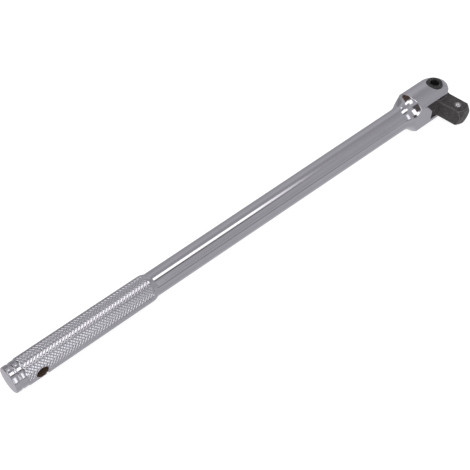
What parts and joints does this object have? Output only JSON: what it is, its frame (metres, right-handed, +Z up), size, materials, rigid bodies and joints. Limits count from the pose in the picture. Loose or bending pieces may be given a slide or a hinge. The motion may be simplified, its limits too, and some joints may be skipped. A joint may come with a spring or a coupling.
{
  "type": "breaker bar",
  "caption": "Flex-head breaker bar: chromed handle with knurled grip, hanging hole and forked end, holding a black pivoting square drive with a sprung ball.",
  "frame": {"origin": "middle of the footprint, on the bench that the tool lies on", "axes": "+X along the handle towards the drive end, +Z up, the drive swung towards -Y"},
  "size_m": [0.369, 0.0416, 0.0301],
  "materials": {
    "chrome_handle": "polished chrome plate over forged steel",
    "black_drive": "satin black phosphate with worn edges",
    "black_screw": "satin black oxide",
    "bright_ball": "polished ball-bearing steel",
    "spring_steel": "drawn spring wire"
  },
  "bodies": {
    "handle": {"handle_grip": "chrome_handle", "handle_shank": "chrome_handle", "handle_fork": "chrome_handle", "pivot_screw": "black_screw", "friction_spring": "spring_steel"},
    "drive": {"drive_head": "black_drive", "detent_spring": "spring_steel"},
    "detent_ball": {"detent_ball": "bright_ball"},
    "friction_ball": {"friction_ball": "bright_ball"}
  },
  "joints": [
    {"name": "drive_swivel", "type": "hinge", "parent": "handle", "child": "drive", "pos_m": [0.17338, 0.00782, 0.01481], "axis": [-0.0159, -0.3233, 0.9462], "range_deg": [-23, 187]},
    {"name": "detent_ball_press", "type": "slide", "parent": "drive", "child": "detent_ball", "axis": [-0.0159, -0.3233, 0.9462], "range_m": [-0.0013, 0], "stiffness_N_per_m": 3000, "springref_m": 0.002, "deforming": ["detent_spring"]},
    {"name": "friction_ball_press", "type": "slide", "parent": "handle", "child": "friction_ball", "axis": [0.9999, 0, 0.0168], "range_m": [-0.0008, 0], "stiffness_N_per_m": 5000, "springref_m": 0.002, "deforming": ["friction_spring"]}
  ]
}
